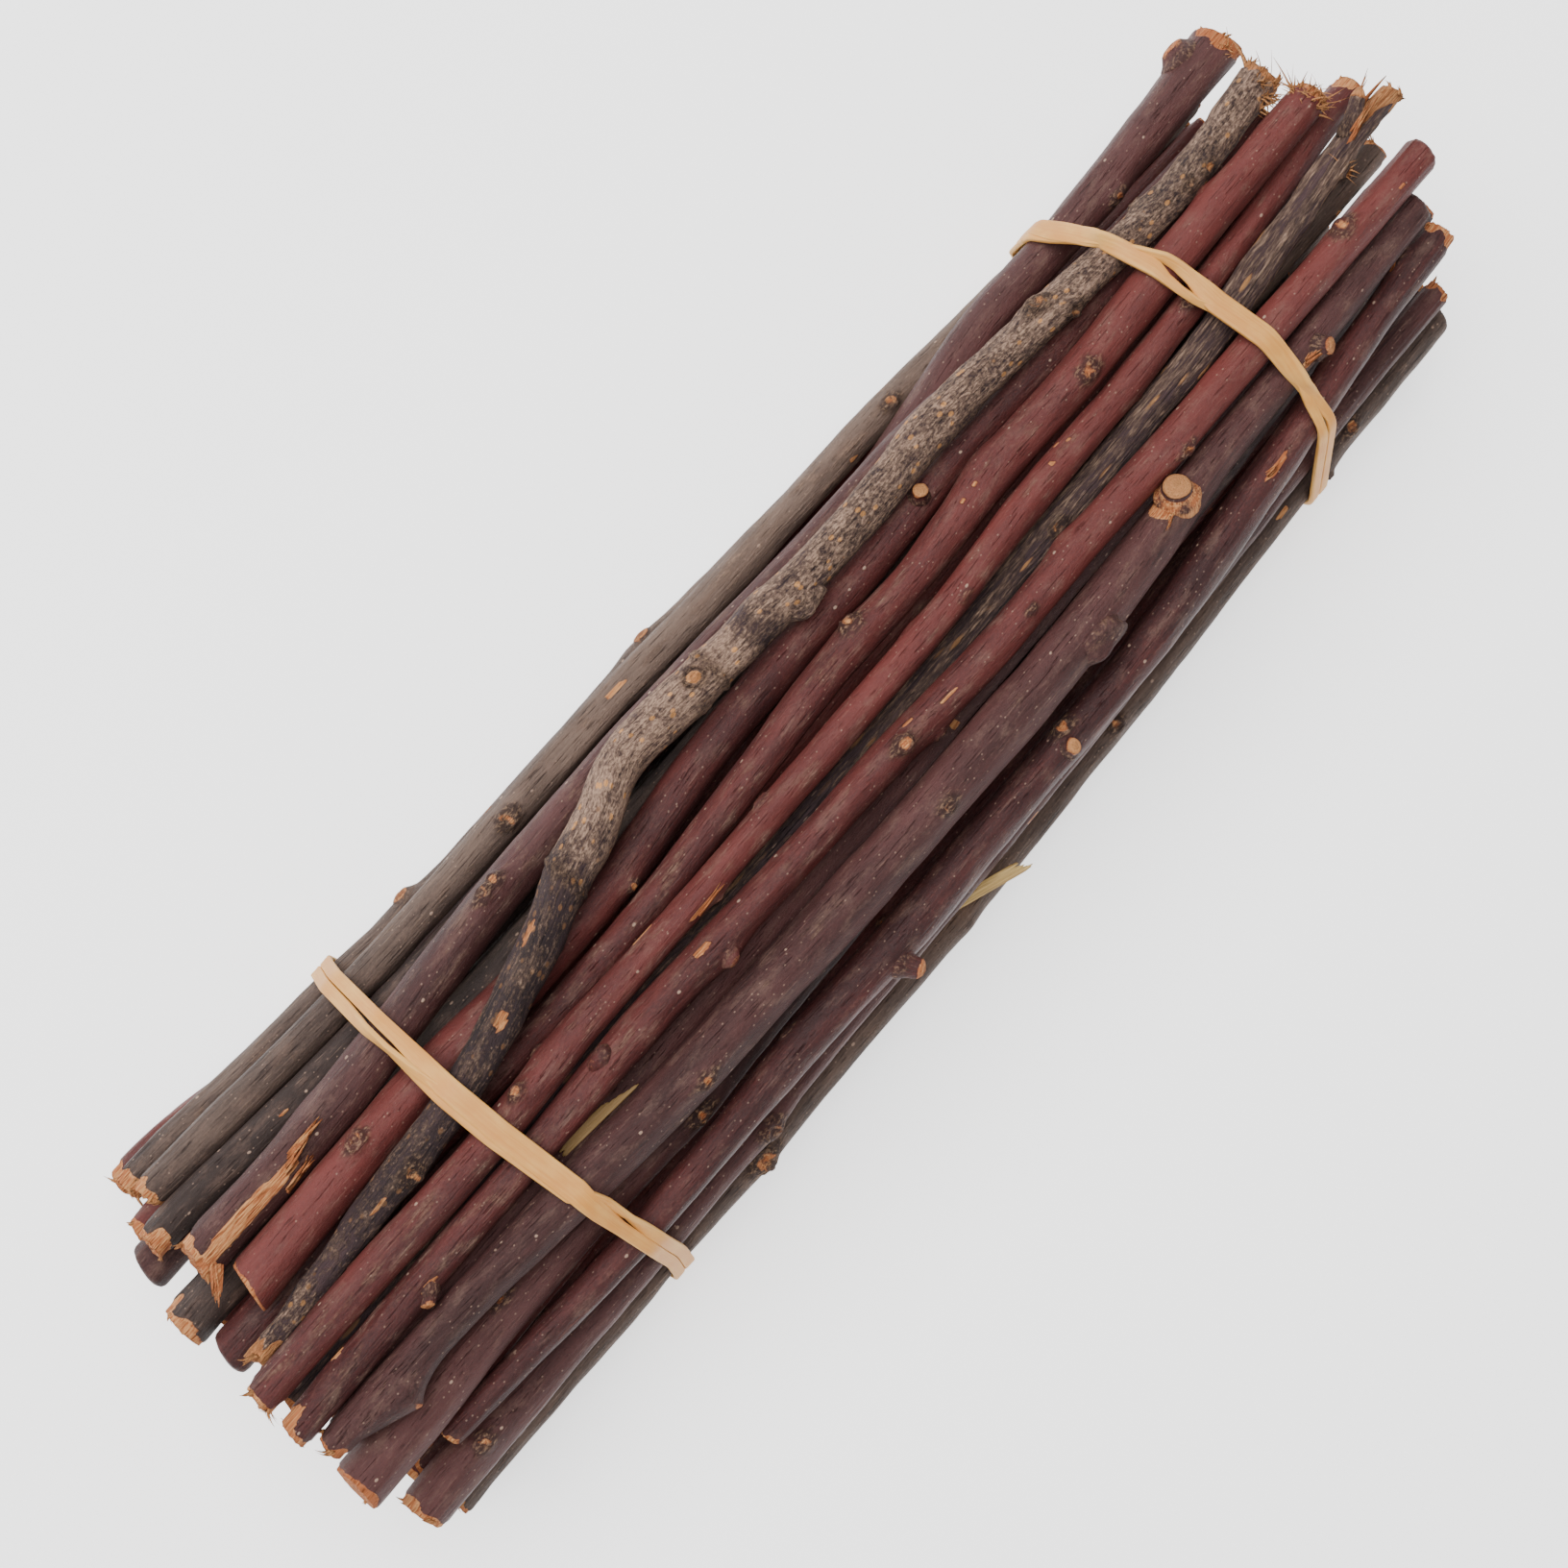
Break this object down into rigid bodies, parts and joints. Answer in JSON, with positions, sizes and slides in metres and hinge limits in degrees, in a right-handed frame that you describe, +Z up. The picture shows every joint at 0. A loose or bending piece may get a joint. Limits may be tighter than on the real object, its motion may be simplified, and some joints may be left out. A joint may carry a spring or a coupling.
{
  "type": "bundle of twigs",
  "caption": "Long bundle of cut fruit-tree twigs with red, plum, grey and olive bark, held side by side by rubber bands, with a little dry straw caught between them.",
  "frame": {"origin": "on the surface that the bundle lies on, under the middle of its bounding box", "axes": "+X along the twigs towards the far band and the thin ends, +Y across the bundle, +Z up"},
  "size_m": [0.16, 0.0478, 0.0303],
  "materials": {
    "red_bark": "smooth dry bark with a satin sheen, pale dots and tan knots",
    "plum_bark": "smooth dry plum-brown bark with pale dots",
    "grey_bark": "rough grey bark, mottled, with orange-tan streaks",
    "olive_bark": "matt grey-olive bark with fine wrinkles",
    "rubber_band": "tan natural rubber, satin",
    "straw": "pale dry straw, fibrous"
  },
  "bodies": {
    "root": {"twig_crown_grey": "grey_bark", "twig_crown_slim": "red_bark", "twig_crown_long": "red_bark", "twig_crown_red": "red_bark", "twig_crown_plum": "plum_bark", "twig_crown_forked": "grey_bark", "twig_shoulder_bright": "red_bark", "twig_shoulder_torn": "plum_bark", "twig_shoulder_knobbed": "plum_bark", "twig_side_smooth": "olive_bark", "twig_side_dark": "olive_bark", "twig_side_bumpy": "olive_bark", "twig_side_low": "red_bark", "twig_flank_plum": "plum_bark", "twig_flank_red": "red_bark", "twig_flank_slim": "plum_bark", "twig_flank_grey": "olive_bark", "twig_tucked_ochre": "olive_bark", "twig_tucked_red": "red_bark", "twig_tucked_grey": "olive_bark", "twig_tucked_plum": "plum_bark", "twig_tucked_rising": "red_bark", "twig_tucked_slim": "red_bark", "twig_under_1": "red_bark", "twig_under_2": "plum_bark", "twig_under_3": "olive_bark", "twig_under_4": "red_bark", "twig_under_5": "plum_bark", "twig_low_1": "red_bark", "twig_low_2": "plum_bark", "twig_low_3": "olive_bark", "twig_low_4": "red_bark", "twig_low_5": "plum_bark", "twig_low_6": "olive_bark", "twig_core_1": "red_bark", "twig_core_2": "plum_bark", "twig_core_3": "olive_bark", "twig_core_4": "red_bark", "twig_core_5": "plum_bark", "twig_core_6": "olive_bark", "twig_heart_1": "red_bark", "twig_heart_2": "plum_bark", "twig_heart_3": "olive_bark", "twig_heart_4": "red_bark", "rubber_band_near": "rubber_band", "rubber_band_far": "rubber_band", "straw_outer": "straw", "straw_inner": "straw"}
  },
  "joints": []
}
